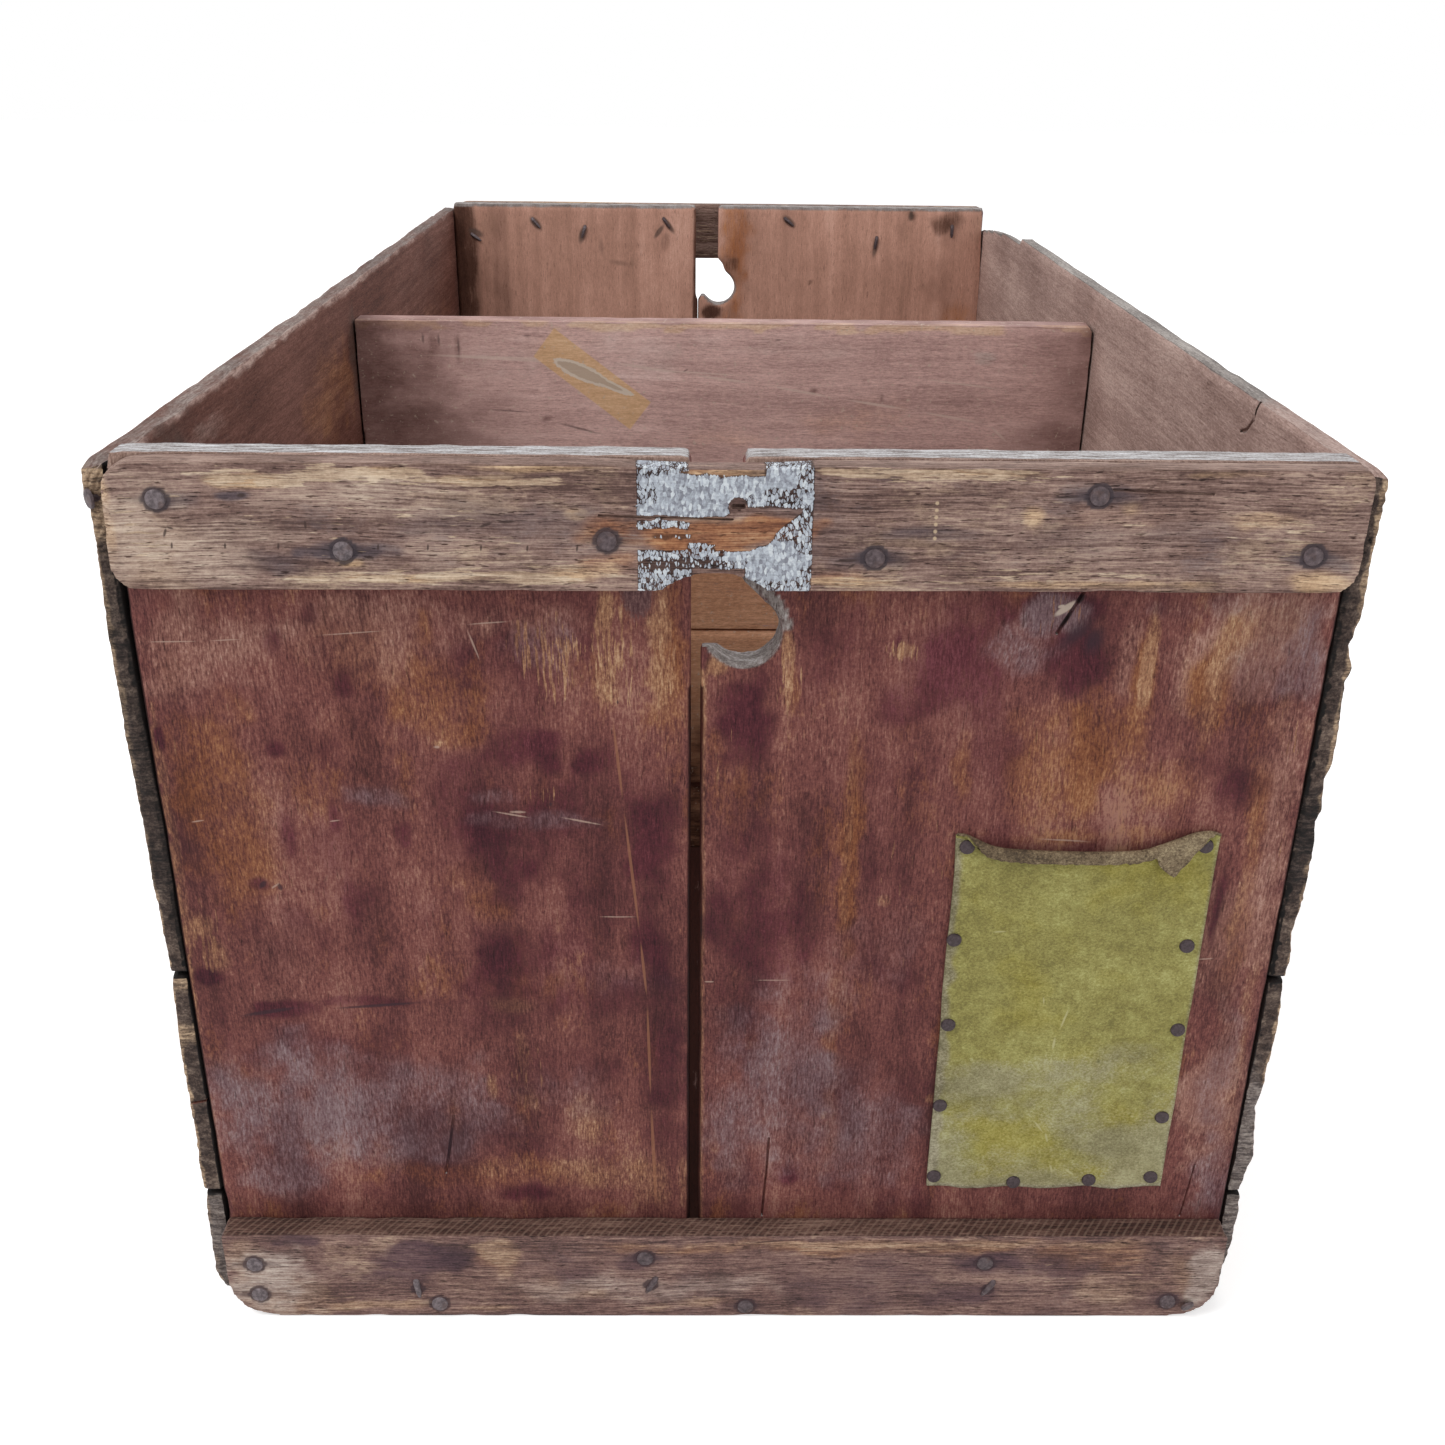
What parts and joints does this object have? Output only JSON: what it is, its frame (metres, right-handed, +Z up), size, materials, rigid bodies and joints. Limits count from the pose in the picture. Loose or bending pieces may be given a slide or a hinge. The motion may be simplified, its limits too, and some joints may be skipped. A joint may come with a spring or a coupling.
{
  "type": "wooden crate",
  "caption": "Open-topped long wooden crate with boarded ends, finger holes, end battens, a middle partition, clinched nails and a tacked card pocket.",
  "frame": {"origin": "on the ground, under the middle of the crate", "axes": "+X to the right, +Y from the front end with the card pocket to the back end, +Z up"},
  "size_m": [0.3994, 0.7276, 0.338],
  "materials": {
    "end_board": "old reddish brown stain, worn matte",
    "batten": "weathered bare wood, matte",
    "side_board": "weathered bare wood, matte",
    "partition": "dusty aged wood, matte",
    "bottom_plank": "aged wood, matte",
    "nail": "dark oxidised steel",
    "tack": "dark oxidised steel",
    "pocket": "aged oilcloth, dull sheen"
  },
  "bodies": {
    "root": {"front_left_board": "end_board", "front_right_board": "end_board", "front_top_batten": "batten", "front_low_batten": "batten", "back_left_board": "end_board", "back_right_board": "end_board", "back_top_batten": "batten", "back_low_batten": "batten", "left_side_low_board": "side_board", "left_side_middle_board": "side_board", "left_side_top_board": "side_board", "right_side_low_board": "side_board", "right_side_middle_board": "side_board", "right_side_top_board": "side_board", "partition_low_board": "partition", "partition_top_board": "partition", "bottom_left_plank": "bottom_plank", "bottom_middle_plank": "bottom_plank", "bottom_right_plank": "bottom_plank", "front_top_batten_nails": "nail", "front_low_batten_nails": "nail", "front_inside_nails": "nail", "back_top_batten_nails": "nail", "back_low_batten_nails": "nail", "back_inside_nails": "nail", "left_side_nails": "nail", "right_side_nails": "nail", "bottom_nails": "nail", "card_pocket": "pocket", "pocket_tacks": "tack"}
  },
  "joints": []
}
